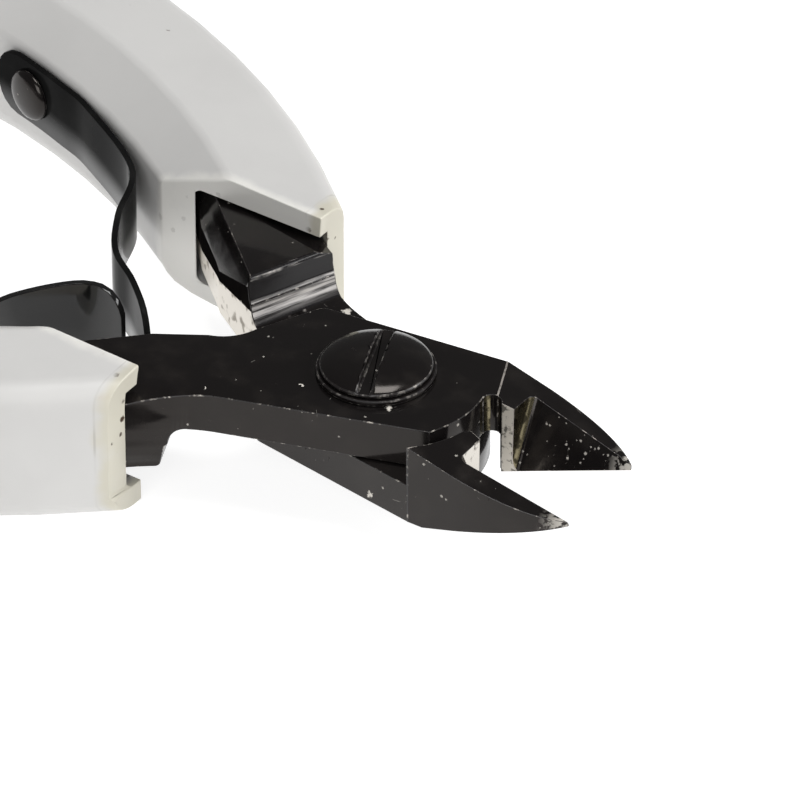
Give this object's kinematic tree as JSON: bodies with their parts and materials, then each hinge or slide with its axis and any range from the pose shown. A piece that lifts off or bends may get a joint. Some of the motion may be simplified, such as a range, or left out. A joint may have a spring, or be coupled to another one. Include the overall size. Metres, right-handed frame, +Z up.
{
  "type": "side cutters",
  "caption": "Open electronics side cutters: lapped dark steel levers on a slotted pivot screw, bevelled jaws, hollow pale plastic grips and leaf springs that reopen them.",
  "frame": {"origin": "middle of the base of the open tool's box, on the plane that the grips lie on", "axes": "+X towards the jaw tips, +Z up along the pivot axis, the upper lever's handle at -Y"},
  "size_m": [0.1362, 0.0804, 0.0111],
  "materials": {
    "black_steel": "black oxide, satin, bright where worn",
    "spring_steel": "blackened, glossy",
    "grip_plastic": "pale grey, fine matte"
  },
  "bodies": {
    "upper_half": {"upper_lever": "black_steel", "upper_lever_grip": "grip_plastic", "upper_leaf_spring": "spring_steel", "upper_spring_rivet": "black_steel"},
    "lower_half": {"lower_lever": "black_steel", "lower_lever_grip": "grip_plastic", "lower_leaf_spring": "spring_steel", "lower_spring_rivet": "black_steel", "pivot_screw": "black_steel", "pivot_washer": "black_steel"}
  },
  "joints": [
    {"name": "pivot", "type": "hinge", "parent": "upper_half", "child": "lower_half", "pos_m": [0.05051, 0, 0.0061], "axis": [0, 0, 1], "range_deg": [0, 22.8], "stiffness_Nm_per_rad": 1.5, "deforming": ["upper_leaf_spring", "lower_leaf_spring"]}
  ]
}
